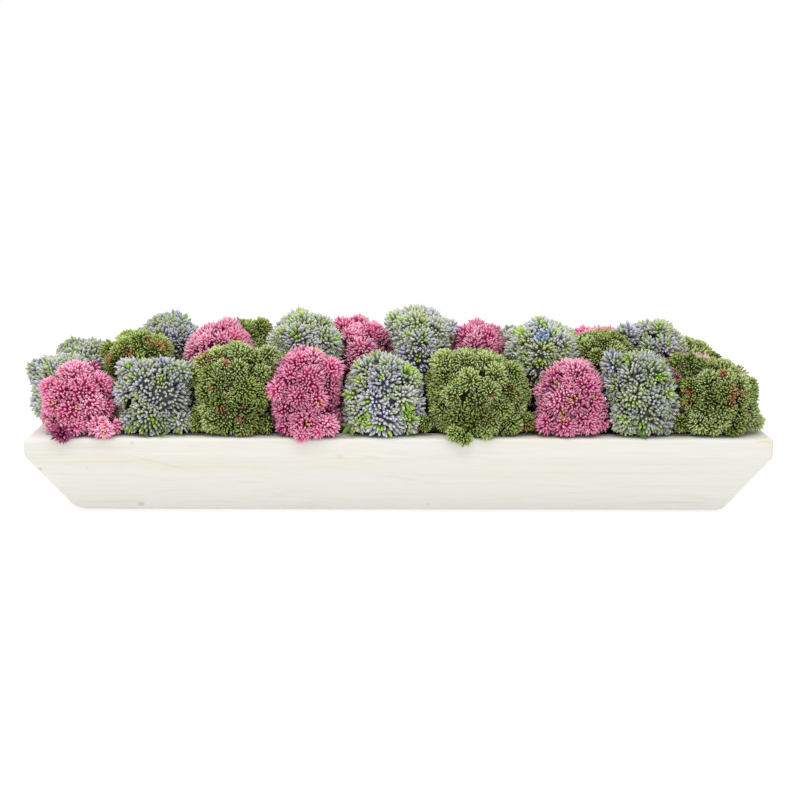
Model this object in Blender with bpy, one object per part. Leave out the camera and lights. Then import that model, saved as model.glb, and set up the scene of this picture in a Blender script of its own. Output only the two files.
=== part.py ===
"""Succulent dish garden: a long arrangement of sedum-like flower heads in a wooden trough.

The trough is carved from one board: an upright band runs round the rim, and below it the
ends and the long sides lean in to a smaller underside. A foam block fills the hollow, a bed
of moss covers the foam, and every flower head stands on its own stem, which goes through
the moss into the foam. The heads of three rows press on each other, so where two meet,
each is cut flat halfway between them.

Metres, +Z up. +X runs along the trough, -Y is its front. The origin is the middle of the
trough's underside.
"""

import math

import bmesh
import bpy
from mathutils import Matrix, Vector

# Trough
LENGTH = 0.752
DEPTH = 0.230
HEIGHT = 0.084
BAND = 0.0195        # height of the upright band under the rim
TAPER = 0.041        # how far the ends and sides lean in below the band
RIM_WALL = 0.032
FLOOR = 0.016
EDGE_RADIUS = 0.0035
EDGE_STEPS = 3

# Foam, moss and stems
FIT_GAP = 0.0003     # clearance between pieces that touch on the real object
SIDE_GAP = 0.0005    # clearance of the foam and the moss to the trough's walls
MOSS_BELOW_RIM = 0.006
STEM_RADIUS = 0.0025
STEM_SIDES = 8
STEM_FOOT = 0.036    # height of a stem's lower end, inside the foam
STEM_LEAN = 0.80     # a stem's foot is this much nearer to the trough's middle than its head
STEM_TO_RIM = 0.010  # a stem's middle stays this far from the rim's inner edge

# Flower heads
HEAD_DETAIL = 3
FULLNESS = 2.20      # a head's lower half is this much longer than its upper half
UNDERSIDE = 1.15     # it is cut flat this many of its half-heights under its middle
HEAD_GAP = 0.0004    # between two heads that press on each other
EXTRA_DEPTH = 0.002  # a head is this much deeper, each way, than the mean of its other sizes
MIN_HALF_DEPTH = 0.041
MAX_HALF_DEPTH = 0.048

# Each head: kind, middle along X, middle along Y, top above the surface that the trough
# stands on, half-width, half-height. All in millimetres.
FRONT_ROW = (
    ("pink", -330, -71, 156, 42, 42),
    ("lavender", -253, -69, 163, 43, 41),
    ("green", -167, -67, 177, 49, 48),
    ("pink", -99, -71, 173, 42, 50),
    ("lavender", -17, -71, 167, 45, 45),
    ("green", 79, -69, 172, 57, 49),
    ("pink", 177, -71, 160, 41, 42),
    ("lavender", 244, -71, 169, 44, 46),
    ("green", 325, -67, 163, 47, 43),
)
MIDDLE_ROW = (
    ("lavender", -360, -3, 157, 38, 37),
    ("green", -278, 1, 182, 39, 39),
    ("pink", -192, 3, 192, 41, 39),
    ("lavender", -102, 3, 203, 44, 45),
    ("pink", -44, 42, 193, 42, 48),
    ("lavender", 19, 5, 205, 39, 42),
    ("pink", 84, 12, 190, 35, 37),
    ("lavender", 153, 0, 197, 45, 44),
    ("green", 217, 0, 185, 35, 38),
    ("lavender", 275, 40, 188, 41, 48),
    ("pink", 312, -3, 158, 33, 36),
)
BACK_ROW = (
    ("lavender", -352, 66, 164, 38, 38),
    ("lavender", -257, 73, 193, 40, 50),
    ("green", -173, 73, 186, 40, 49),
    ("pink", -97, 74, 180, 42, 48),
    ("green", 44, 74, 178, 44, 47),
    ("lavender", 128, 74, 176, 43, 46),
    ("pink", 213, 74, 179, 40, 47),
    ("green", 322, 69, 166, 40, 43),
)
MM = 0.001

COLOURS = {
    "planter": ((0.86, 0.83, 0.75), 0.75),
    "foam": ((0.10, 0.22, 0.10), 0.95),
    "moss": ((0.10, 0.13, 0.03), 0.95),
    "stem": ((0.16, 0.24, 0.06), 0.60),
    "pink": ((0.62, 0.13, 0.28), 0.55),
    "lavender": ((0.35, 0.38, 0.52), 0.55),
    "green": ((0.17, 0.28, 0.06), 0.60),
}


def clear_scene():
    for old in list(bpy.data.objects):
        bpy.data.objects.remove(old, do_unlink=True)


def new_collection(name):
    group = bpy.data.collections.new(name)
    bpy.context.scene.collection.children.link(group)
    return group


def make_material(name):
    colour, roughness = COLOURS[name]
    material = bpy.data.materials.new(name)
    material.use_nodes = True
    shader = material.node_tree.nodes["Principled BSDF"]
    shader.inputs["Base Color"].default_value = (*colour, 1.0)
    shader.inputs["Roughness"].default_value = roughness
    shader.inputs["Metallic"].default_value = 0.0
    return material


def add_object(name, mesh_work, group, material):
    """Turn a bmesh into a named object in its collection, and free the bmesh."""
    bmesh.ops.recalc_face_normals(mesh_work, faces=mesh_work.faces)
    mesh = bpy.data.meshes.new(name)
    mesh_work.to_mesh(mesh)
    mesh_work.free()
    item = bpy.data.objects.new(name, mesh)
    group.objects.link(item)
    if material is not None:
        mesh.materials.append(material)
    return item


def move_ring(face, height, inset):
    """Put a four-cornered face at a height, each side moved in by the inset."""
    for corner in face.verts:
        corner.co.x -= math.copysign(inset, corner.co.x)
        corner.co.y -= math.copysign(inset, corner.co.y)
        corner.co.z = height


def pull_face(work, face, height, inset):
    """Extrude one face to a new height and inset, and return the new face."""
    pulled = bmesh.ops.extrude_face_region(work, geom=[face])
    new_face = next(part for part in pulled["geom"] if isinstance(part, bmesh.types.BMFace))
    bmesh.ops.delete(work, geom=[face], context="FACES_ONLY")
    move_ring(new_face, height, inset)
    return new_face


def cavity_inset(height):
    """How far the hollow's wall lies in from the trough's outline at this height."""
    slope = TAPER / (HEIGHT - BAND)
    return RIM_WALL + slope * max(0.0, HEIGHT - BAND - height)


def build_trough(group):
    """The band is a box; its underside and its top are pulled into the rest of the shape."""
    work = bmesh.new()
    place = Matrix.Translation((0.0, 0.0, HEIGHT - BAND / 2.0))
    size = Matrix.Diagonal((LENGTH, DEPTH, BAND, 1.0))
    bmesh.ops.create_cube(work, size=1.0, matrix=place @ size)
    by_height = sorted(work.faces, key=lambda face: face.calc_center_median().z)
    pull_face(work, by_height[0], 0.0, TAPER)
    rounded = set(work.edges)
    top = by_height[-1]
    bmesh.ops.inset_region(work, faces=[top], thickness=RIM_WALL, use_even_offset=True)
    rounded |= set(top.edges)
    band_end = pull_face(work, top, HEIGHT - BAND, 0.0)
    taper_inside = cavity_inset(FLOOR) - cavity_inset(HEIGHT - BAND)
    pull_face(work, band_end, FLOOR, taper_inside)
    bmesh.ops.bevel(
        work,
        geom=[edge for edge in rounded if edge.is_valid],
        offset=EDGE_RADIUS,
        offset_type="OFFSET",
        segments=EDGE_STEPS,
        profile=0.5,
        affect="EDGES",
    )
    trough = add_object("planter", work, group, make_material("planter"))
    trough.data.shade_smooth()
    trough.data.set_sharp_from_angle(angle=math.radians(25.0))
    return trough


def build_block(name, low, high, group, material):
    """A block that fills the hollow between two heights, with its clearance to the walls."""
    work = bmesh.new()
    bmesh.ops.create_cube(work, size=1.0)
    for corner in work.verts:
        height = high if corner.co.z > 0.0 else low
        inset = cavity_inset(height) + SIDE_GAP
        corner.co.x = math.copysign(LENGTH / 2.0 - inset, corner.co.x)
        corner.co.y = math.copysign(DEPTH / 2.0 - inset, corner.co.y)
        corner.co.z = height
    return add_object(name, work, group, material)


def drill(block, cutter):
    cut = block.modifiers.new("stem holes", "BOOLEAN")
    cut.operation = "DIFFERENCE"
    cut.solver = "EXACT"
    cut.object = cutter


class Head:
    """One flower head: its node name, kind, middle and half sizes."""

    def __init__(self, row, number, entry):
        kind, x, y, top, half_width, half_height = entry
        self.kind = kind
        self.name = f"{kind}_head_{row}_{number}"
        self.stem_name = f"stem_{row}_{number}"
        half_depth = (half_width + half_height) / 2.0 * MM + EXTRA_DEPTH
        half_depth = min(max(half_depth, MIN_HALF_DEPTH), MAX_HALF_DEPTH)
        self.half = Vector((half_width * MM, half_depth, half_height * MM))
        self.middle = Vector((x * MM, y * MM, (top - half_height) * MM))
        resting = HEIGHT + HEAD_GAP
        self.bottom = max(resting, self.middle.z - UNDERSIDE * self.half.z)

    def radius_towards(self, direction):
        half_height = self.half.z * (FULLNESS if direction.z < 0.0 else 1.0)
        half = (self.half.x, self.half.y, half_height)
        scaled = Vector(direction[axis] / half[axis] for axis in range(3))
        return 1.0 / scaled.length

    def reach(self):
        return max(self.half.x, self.half.y, self.half.z * FULLNESS)


def list_heads():
    heads = []
    for row, entries in (("front", FRONT_ROW), ("middle", MIDDLE_ROW), ("back", BACK_ROW)):
        for number, entry in enumerate(entries, start=1):
            heads.append(Head(row, number, entry))
    return heads


def slice_off(work, point, outward):
    """Cut away what lies beyond a plane, and close the cut with one flat face."""
    everything = list(work.verts) + list(work.edges) + list(work.faces)
    result = bmesh.ops.bisect_plane(
        work, geom=everything, dist=1e-6, plane_co=point, plane_no=outward, clear_outer=True
    )
    rim = [part for part in result["geom_cut"] if isinstance(part, bmesh.types.BMEdge)]
    rim = [edge for edge in rim if edge.is_valid and edge.is_boundary]
    if rim:
        bmesh.ops.edgeloop_fill(work, edges=rim)


def build_head(head, heads, group, material):
    """An egg shape, cut flat below and halfway to each neighbour that it presses on."""
    work = bmesh.new()
    bmesh.ops.create_icosphere(work, subdivisions=HEAD_DETAIL, radius=1.0)
    bmesh.ops.scale(work, vec=head.half, verts=work.verts)
    for corner in work.verts:
        if corner.co.z < 0.0:
            corner.co.z *= FULLNESS
    underside = Vector((0.0, 0.0, head.bottom - head.middle.z))
    slice_off(work, underside, Vector((0.0, 0.0, -1.0)))
    for other in heads:
        if other is head:
            continue
        between = other.middle - head.middle
        distance = between.length
        if distance > head.reach() + other.reach():
            continue
        direction = between.normalized()
        own = head.radius_towards(direction)
        share = own / (own + other.radius_towards(-direction))
        slice_off(work, direction * (distance * share - HEAD_GAP / 2.0), direction)
    bmesh.ops.remove_doubles(work, verts=work.verts, dist=0.00002)
    item = add_object(head.name, work, group, material)
    item.location = head.middle
    return item


def stem_line(head):
    """A stem's foot in the foam and its top, just under the head's flat underside."""
    farthest = LENGTH / 2.0 - RIM_WALL - STEM_TO_RIM
    x = min(max(head.middle.x, -farthest), farthest)
    top = Vector((x, head.middle.y, head.bottom))
    foot = Vector((top.x * STEM_LEAN, top.y * STEM_LEAN, STEM_FOOT))
    lean = (top - foot).normalized()
    raised_edge = STEM_RADIUS * math.hypot(lean.x, lean.y)
    top -= lean * (FIT_GAP + raised_edge) / lean.z
    return foot, top


def rod(work, foot, top, radius):
    """Add a straight round rod between two points to a bmesh."""
    along = top - foot
    turn = along.to_track_quat("Z", "Y").to_matrix().to_4x4()
    place = Matrix.Translation((foot + top) / 2.0) @ turn
    bmesh.ops.create_cone(
        work,
        cap_ends=True,
        segments=STEM_SIDES,
        radius1=radius,
        radius2=radius,
        depth=along.length,
        matrix=place,
    )


def build_stem(head, group, material):
    foot, top = stem_line(head)
    work = bmesh.new()
    rod(work, Vector((0.0, 0.0, 0.0)), top - foot, STEM_RADIUS)
    item = add_object(head.stem_name, work, group, material)
    item.location = foot
    item.data.shade_smooth()
    item.data.set_sharp_from_angle(angle=math.radians(50.0))
    return item


def build_hole_cutter(heads, group):
    """One rod for each stem, a little wider and deeper than the stem."""
    work = bmesh.new()
    for head in heads:
        foot, top = stem_line(head)
        lean = (top - foot).normalized()
        rod(work, foot - lean * FIT_GAP, top, STEM_RADIUS + FIT_GAP)
    cutter = add_object("stem_hole_cutter", work, group, None)
    cutter.hide_render = True
    cutter.display_type = "WIRE"
    return cutter


def main():
    clear_scene()
    garden = new_collection("succulent_dish_garden")
    cutters = new_collection("cutters")
    heads = list_heads()
    build_trough(garden)
    foam_top = HEIGHT - BAND
    foam = build_block("foam_block", FLOOR + FIT_GAP, foam_top, garden, make_material("foam"))
    moss_top = HEIGHT - MOSS_BELOW_RIM
    moss = build_block("moss_bed", foam_top + FIT_GAP, moss_top, garden, make_material("moss"))
    cutter = build_hole_cutter(heads, cutters)
    drill(foam, cutter)
    drill(moss, cutter)
    stem_material = make_material("stem")
    head_materials = {kind: make_material(kind) for kind in ("pink", "lavender", "green")}
    for head in heads:
        build_head(head, heads, garden, head_materials[head.kind])
        build_stem(head, garden, stem_material)


main()
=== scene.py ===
"""Looks of the succulent dish garden.

Every flower head is a cluster of round tufts, and every tuft is a ball of small buds that
point away from its middle. A head fills the space of its CAD solid: tufts are set against
the solid's surface, where the photograph shows them or else evenly, and buds that would be
buried in another tuft, in a neighbouring head or in the wood are left out. The trough, the
moss and the leaves are modelled meshes too.

Metres, +Z up, the same frame as the CAD.
"""

import math
from types import SimpleNamespace

import bmesh
import bpy
import numpy as np
from mathutils import Euler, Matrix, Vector, noise
from mathutils.bvhtree import BVHTree


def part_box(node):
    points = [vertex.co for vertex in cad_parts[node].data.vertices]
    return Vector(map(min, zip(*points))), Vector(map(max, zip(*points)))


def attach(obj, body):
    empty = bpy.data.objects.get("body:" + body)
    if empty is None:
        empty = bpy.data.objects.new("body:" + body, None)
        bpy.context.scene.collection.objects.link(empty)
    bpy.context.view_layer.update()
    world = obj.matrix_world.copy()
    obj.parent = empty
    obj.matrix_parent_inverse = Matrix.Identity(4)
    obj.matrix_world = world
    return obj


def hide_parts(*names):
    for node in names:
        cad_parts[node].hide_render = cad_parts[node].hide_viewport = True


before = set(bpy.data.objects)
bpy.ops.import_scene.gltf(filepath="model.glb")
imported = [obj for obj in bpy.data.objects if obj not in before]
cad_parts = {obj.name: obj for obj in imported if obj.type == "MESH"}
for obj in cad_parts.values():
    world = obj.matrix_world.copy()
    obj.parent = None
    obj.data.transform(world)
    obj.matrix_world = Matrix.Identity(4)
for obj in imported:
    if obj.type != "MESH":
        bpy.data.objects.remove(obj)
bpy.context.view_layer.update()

BODY = "root"
MM = 0.001
GOLDEN_TURN = math.pi * (1.0 + math.sqrt(5.0))
FIRST_SEED = 1000
HEXAGON_SHARE = 0.866    # area of a cell in an even layout, in squares of the spacing

# Camera: the photograph's viewing angle. The image is 800 pixels wide and high.
IMAGE_SIZE = 800.0
FOCAL_PIXELS = 1526.0
SENSOR_WIDTH = 36.0
CAMERA_PITCH = math.radians(10.21)
CAMERA_ROLL = math.radians(-0.11)
CAMERA_TO_FRONT = 1.5    # level distance from the lens to the trough's front
CAMERA_OVER_RIM = 0.310
CAMERA_RIGHT = -0.0005

# Trough, as in the CAD
BAND = 0.0195
TAPER = 0.041
RIM_WALL = 0.032
FLOOR = 0.016

trough_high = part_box("planter")[1]
HALF_LENGTH = trough_high.x
HALF_DEPTH = trough_high.y
RIM = trough_high.z


def linear(colour):
    """A colour of 0 to 255, as seen on a screen, as the linear values that shaders take."""
    shares = (value / 255.0 for value in colour)
    return tuple(s / 12.92 if s < 0.04045 else ((s + 0.055) / 1.055) ** 2.4 for s in shares)


def add_object(name, data):
    added = bpy.data.objects.new(name, data)
    bpy.context.scene.collection.objects.link(added)
    return added


def make_piece(name, mesh, nodes=()):
    """Add a mesh as a piece that rides with the garden and stands for CAD nodes."""
    piece = add_object(name, mesh)
    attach(piece, BODY)
    if nodes:
        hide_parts(*nodes)


def finish_mesh(work, name, material):
    """A smooth mesh from a bmesh, which is freed."""
    bmesh.ops.recalc_face_normals(work, faces=work.faces)
    mesh = bpy.data.meshes.new(name)
    work.to_mesh(mesh)
    work.free()
    mesh.shade_smooth()
    mesh.materials.append(material)
    return mesh


def skin_rings(work, rings):
    """Faces between each ring of vertices and the next, and one at both ends."""
    for low, high in zip(rings, rings[1:]):
        for k in range(len(low)):
            after = (k + 1) % len(low)
            work.faces.new((low[k], low[after], high[after], high[k]))
    work.faces.new(list(reversed(rings[0])))
    work.faces.new(rings[-1])


class Surface:
    """Collects points and faces, with each corner's place on the colour map."""

    def __init__(self):
        self.parts = []
        self.point_count = 0

    def add(self, points, corners, sizes, places):
        self.parts.append((points, corners + self.point_count, sizes, places))
        self.point_count += len(points)

    def to_mesh(self, name, material):
        points, corners, sizes, places = map(np.concatenate, zip(*self.parts))
        starts = np.concatenate(([0], np.cumsum(sizes)[:-1]))
        mesh = bpy.data.meshes.new(name)
        mesh.vertices.add(len(points))
        mesh.vertices.foreach_set("co", points.ravel().astype(np.float32))
        mesh.loops.add(len(corners))
        mesh.loops.foreach_set("vertex_index", corners.astype(np.int32))
        mesh.polygons.add(len(sizes))
        mesh.polygons.foreach_set("loop_start", starts.astype(np.int32))
        mesh.polygons.foreach_set("use_smooth", np.ones(len(sizes), dtype=bool))
        colour_map = mesh.uv_layers.new(name=COLOUR_MAP)
        colour_map.data.foreach_set("uv", places.ravel().astype(np.float32))
        mesh.materials.append(material)
        mesh.update(calc_edges=True)
        mesh.validate()
        return mesh


# Colours of the buds. A bud's place across the colour map picks one of these columns, and
# its height on the map runs from the bud's foot to its tip.
COLOUR_MAP = "OFBake"
COLUMNS = 64
COLUMN_FILL = 0.3    # half the part of a column that a bud's faces cover


def palette(*groups):
    """Column ranges by group name, each with its darkest, lightest and tip colour."""
    ranges, first = {}, 0
    for name, width, dark, light, tip in groups:
        ranges[name] = SimpleNamespace(first=first, width=width, dark=dark, light=light,
                                       tip=tip)
        first += width
    return ranges


# A bud is rings of points, given as height along it and share of its half-width, and a tip.
SLENDER = ((0.0, 0.40), (0.50, 1.0), (0.84, 0.78))
TAPERED = ((0.0, 0.40), (0.68, 1.0))
PLUMP = ((0.0, 0.50), (0.76, 1.0))

# How the heads of each kind look. A patch is a colour group, its chance on a tuft, its
# smallest and largest radius in millimetres and the part of its buds that take the colour.
# A tuft is added where the skin is farther than tuft_gap from all others, and a smaller one
# where it is farther than fill_gap. The ball of a tuft that is laid as in the photograph is
# flatness times as large as the tuft looks. The foot's colour is multiplied with foot, which is
# painted shade of the gaps among the buds. Toward the tip each bud is mixed with its tip
# colour, partly the buds' own paler tips and partly a painted highlight.
LOOKS = {
    "pink": SimpleNamespace(
        palette=palette(
            ("petal", 22, (168, 34, 98), (240, 112, 168), (255, 218, 230)),
            ("pale", 14, (194, 70, 124), (252, 170, 202), (255, 234, 240)),
            ("plum", 12, (84, 14, 54), (148, 40, 92), (192, 106, 148)),
            ("gold", 10, (140, 100, 46), (222, 182, 90), (244, 222, 160)),
            ("core", 6, (156, 40, 98), (174, 50, 112), (174, 50, 112)),
        ),
        tuft_groups=(("petal", 0.68), ("pale", 0.32)),
        own_share=0.75,
        patches=(("gold", 0.16, 3.0, 5.5, 0.6), ("plum", 0.06, 4.0, 7.0, 0.6)),
        tip_and_highlight_strength=0.64, foot=(0.86, 0.50, 0.76),
        tuft_radius=0.0155, tuft_range=(0.68, 1.25), filler_range=(0.60, 0.90),
        tuft_gap=0.0075, fill_gap=0.0045, flatness=1.35,
        bud_rings=TAPERED, bud_sides=4, bud_length=0.0095, bud_half_width=0.00132,
        bud_spacing=0.00372, roughness=0.40,
    ),
    "lavender": SimpleNamespace(
        palette=palette(
            ("haze", 18, (94, 92, 120), (202, 202, 224), (236, 238, 232)),
            ("grey", 14, (90, 100, 92), (196, 204, 188), (236, 240, 222)),
            ("sage", 12, (86, 108, 64), (184, 198, 146), (230, 236, 204)),
            ("lime", 10, (88, 142, 28), (172, 212, 74), (204, 230, 124)),
            ("blue", 5, (66, 96, 152), (124, 156, 204), (192, 210, 232)),
            ("core", 5, (90, 84, 98), (108, 102, 114), (108, 102, 114)),
        ),
        tuft_groups=(("haze", 0.40), ("grey", 0.32), ("sage", 0.28)),
        own_share=0.55,
        patches=(("lime", 0.8, 7.0, 12.0, 0.32), ("lime", 0.6, 4.0, 8.0, 0.45),
                 ("sage", 0.4, 6.0, 11.0, 0.6)),
        tip_and_highlight_strength=0.46, foot=(0.66, 0.60, 0.70),
        tuft_radius=0.0235, tuft_range=(0.72, 1.25), filler_range=(0.50, 0.80),
        tuft_gap=0.0080, fill_gap=0.0045, flatness=1.20,
        bud_rings=SLENDER, bud_sides=4, bud_length=0.0112, bud_half_width=0.00164,
        bud_spacing=0.00465, roughness=0.44,
    ),
    "green": SimpleNamespace(
        palette=palette(
            ("olive", 22, (64, 84, 20), (154, 176, 76), (222, 234, 160)),
            ("light", 14, (94, 116, 40), (198, 214, 128), (238, 246, 200)),
            # deep: a darker green, which the tables below also set at the heads' bottoms and in
            # gaps as painted shade.
            ("deep", 12, (44, 60, 14), (114, 134, 48), (186, 202, 112)),
            ("rust", 8, (118, 66, 36), (188, 124, 84), (216, 172, 130)),
            ("red", 4, (140, 44, 34), (192, 76, 60), (216, 120, 98)),
            ("core", 4, (64, 74, 28), (78, 90, 36), (78, 90, 36)),
        ),
        tuft_groups=(("olive", 0.50), ("light", 0.28), ("deep", 0.22)),
        own_share=0.7,
        patches=(("rust", 0.14, 4.0, 8.0, 0.45), ("red", 0.04, 1.5, 2.6, 0.7)),
        tip_and_highlight_strength=0.60, foot=(0.60, 0.62, 0.42),
        tuft_radius=0.0150, tuft_range=(0.68, 1.40), filler_range=(0.60, 0.90),
        tuft_gap=0.0072, fill_gap=0.0045, flatness=1.15,
        bud_rings=PLUMP, bud_sides=3, bud_length=0.0076, bud_half_width=0.00106,
        bud_spacing=0.00322, roughness=0.46,
    ),
}

# Layout of the tufts of a head. Lengths are in metres, unless a comment says otherwise.
CANDIDATES = 500     # places tried for a head's tufts
STAND_OUT = 0.0015   # how far a tuft's top stands out of the head's CAD solid
TUFT_DEPTH = (-0.0010, 0.0045)   # less this much, for a tuft and for one that fills a gap
FILLER_DEPTH = (0.0035, 0.0065)
PAST_SOLID = (0.0010, 0.0040)    # the most that a tip may stand out of it
# The core's dark colour is painted shade, seen in the gaps among the buds.
CORE_DEPTH = 0.78    # a tuft's dark core ends this many bud lengths under the tips
CORE_UNDER_SKIN = 0.3     # and at least this many under the solid's surface
CORE_LEAST = 0.3     # least reach of the core, in mean radii of the head
CORE_DETAIL = 3
CORE_ON_MAP = (0.45, 0.55)       # the core's heights on the colour map
CANDIDATE_SHAKE = 0.02
LEAST_REACH = 0.15   # a tuft's middle keeps this share of the way from the head's middle

# Layout of the buds of a tuft. Lengths, widths and tips: mean, spread, least and most.
DIRECTION_SHAKE = 0.26    # how uneven the spacing is, in spacings
BUD_LENGTHS = (1.0, 0.10, 0.75, 1.25)
BUD_WIDTHS = (1.0, 0.08, 0.8, 1.25)
TIP_HEIGHTS = (0.0, 0.11, -0.25, 0.25)   # over or under the tuft's ball, in bud lengths
LUMPINESS = 0.09     # slow bumps of the tuft, as a share of its radius
LUMP_SCALE = 1.9
OUTWARD_LEAN = 0.14  # how much all of a tuft's buds lean out of the head
AXIS_SPREAD = 0.05
BACK_OF_TUFT = -0.55      # cosine past which a tuft has no buds, because they face inward
BURIED = 0.42        # a bud is left out if its tip is this many bud lengths inside a tuft
WOOD_GAP = 0.0006

# Colours of the buds of a tuft
TUFT_TONES = (0.38, 0.88)
TONE_SPREAD = 0.20
# Painted shade: buds near the next tuft are darkened, as in the crevices between tufts.
CREVICE_WIDTH = 0.7  # buds darken from this many bud lengths outside the next tuft
CREVICE_SHADE = 0.50
PATCH_SPREAD = 0.45  # how far a patch may lie from the tuft's top
SPOT_SHARE = 0.65    # part of a spot's buds that take its colour
LEANING = 40.0       # how alike heads of one kind are in their shares of colours

# A bud that is closed in on all sides is left out.
DAYLIGHT_START = 0.003    # under its tip
DAYLIGHT_REACH = 0.15
CORE_SHARE = 0.80    # part of a head's own solid that blocks its buds' way out
DENTED_CORE_SHARE = 0.70  # the same for a head with dents
FEWEST_OPEN = 2      # slanting ways out that must be open, if the straight one isn't
SLANTS = [(lean, 2.0 * math.pi * step / count)
          for lean, count in ((1.1, 5), (3.0, 6)) for step in range(count)]


def bud_template(rings, sides):
    """Points, corners, face sizes and map places of one bud of unit length and width.

    The foot is left open, because it stands in the head's core.
    """
    turns = [2.0 * math.pi * k / sides for k in range(sides)]
    points = [(r * math.cos(a), r * math.sin(a), t) for t, r in rings for a in turns]
    points.append((0.0, 0.0, 1.0))
    tip = len(points) - 1
    corners, sizes, places = [], [], []
    for ring in range(len(rings) - 1):
        low, high = rings[ring][0], rings[ring + 1][0]
        for k in range(sides):
            after = (k + 1) % sides
            first = ring * sides
            corners += [first + k, first + after, first + sides + after, first + sides + k]
            sizes.append(4)
            places += [(-1, low), (1, low), (1, high), (-1, high)]
    last = (len(rings) - 1) * sides
    shoulder = rings[-1][0]
    for k in range(sides):
        corners += [last + k, last + (k + 1) % sides, tip]
        sizes.append(3)
        places += [(-1, shoulder), (1, shoulder), (0, 1.0)]
    return np.array(points), np.array(corners), np.array(sizes), np.array(places, float)


def add_buds(surface, shape, feet, axes, lengths, half_widths, turns, columns):
    """Add one bud for each foot point, all at once."""
    points, corners, sizes, places = shape
    count = len(feet)
    helper = np.where(np.abs(axes[:, 2:3]) < 0.9, (0.0, 0.0, 1.0), (1.0, 0.0, 0.0))
    across = unit(np.cross(axes, helper))
    side = np.cross(axes, across)
    first = across * np.cos(turns)[:, None] + side * np.sin(turns)[:, None]
    second = np.cross(axes, first)
    placed = feet[:, None, :]
    for way, size, axis in ((axes, lengths, 2), (first, half_widths, 0), (second, half_widths, 1)):
        placed = placed + way[:, None, :] * (size[:, None] * points[None, :, axis])[:, :, None]
    offsets = np.arange(count)[:, None] * len(points)
    across_map = (columns[:, None] + 0.5 + COLUMN_FILL * places[None, :, 0]) / COLUMNS
    up_map = np.broadcast_to(places[None, :, 1], across_map.shape)
    surface.add(placed.reshape(-1, 3), (corners[None, :] + offsets).ravel(),
                np.tile(sizes, count), np.stack([across_map, up_map], axis=2).reshape(-1, 2))


def random_turn(rng):
    """A random rotation, as a matrix."""
    matrix, _ = np.linalg.qr(rng.normal(size=(3, 3)))
    return matrix * np.sign(np.linalg.det(matrix))


def unit(vectors):
    return vectors / np.linalg.norm(vectors, axis=-1, keepdims=True)


def distances(points, place):
    return np.linalg.norm(points - place, axis=1)


def even_directions(count, rng, jitter):
    """Directions spread evenly over a sphere, turned at random and shaken a little."""
    step = np.arange(count) + 0.5
    height = 1.0 - 2.0 * step / count
    radius = np.sqrt(1.0 - height * height)
    turn = GOLDEN_TURN * step
    spread = np.stack([radius * np.cos(turn), radius * np.sin(turn), height], axis=1)
    spread = spread @ random_turn(rng).T
    return unit(spread + rng.normal(scale=jitter, size=spread.shape))


def tree_of(node_names, shrunk=None):
    """One search tree over the meshes of CAD nodes. One of them may be shrunk."""
    corners, faces = [], []
    for name in node_names:
        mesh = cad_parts[name].data
        first = len(corners)
        if name == shrunk:
            low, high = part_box(name)
            middle = (low + high) / 2.0
            share = DENTED_CORE_SHARE if name in DENTS else CORE_SHARE
            corners += [middle + (v.co - middle) * share for v in mesh.vertices]
        else:
            corners += [vertex.co for vertex in mesh.vertices]
        faces += [tuple(first + index for index in face.vertices) for face in mesh.polygons]
    return BVHTree.FromPolygons(corners, faces)


class Solid:
    """A head's CAD solid, and how far it reaches from its middle in any direction.

    Where the photograph shows less of a head than the solid has, a round dent is taken out.
    """

    def __init__(self, node_name):
        self.name = node_name
        self.kind, _, self.row, _ = node_name.split("_")
        self.tree = tree_of([node_name])
        low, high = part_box(node_name)
        self.middle = (low + high) / 2.0
        self.centre = np.array(self.middle)
        self.mean_radius = sum(high - low) / 6.0
        self.dents = [in_space(*dent) for dent in DENTS.get(node_name, ())]
        self.laid = rows(LAID_TUFTS.get(node_name, ""))
        self.extra = rows(EXTRA_TUFTS.get(node_name, ""))

    def reach(self, directions):
        found = [self.tree.ray_cast(self.middle, Vector(way))[3] for way in directions]
        reach = np.array([self.mean_radius if far is None else far for far in found])
        for place, radius in self.dents:
            offset = place - self.centre
            along = directions @ offset
            room = radius**2 - offset @ offset + along**2
            entry = along - np.sqrt(np.maximum(room, 0.0))
            reach = np.where((room > 0.0) & (entry > 0.0), np.minimum(reach, entry), reach)
        return reach


def lay_tuft(solid, look, x, y, size):
    """Middle, radius and outward direction of a tuft that a pixel shows on a head's skin.

    The tuft is a low dome: the part that shows of a larger ball that lies deeper.
    """
    ray = pixel_ray(x, y)
    skin = solid.tree.ray_cast(CAMERA_PLACE, ray)[0]
    if skin is None:
        nearest = CAMERA_PLACE + ray * (solid.middle - CAMERA_PLACE).dot(ray)
        skin = solid.tree.find_nearest(nearest)[0]
    radius = in_space(x, y, skin.y / MM, size)[1] * look.flatness
    way = (skin - solid.middle).normalized()
    middle = skin + (ray - way).normalized() * (radius - STAND_OUT)
    return np.array(middle), radius, np.array(way)


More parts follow.
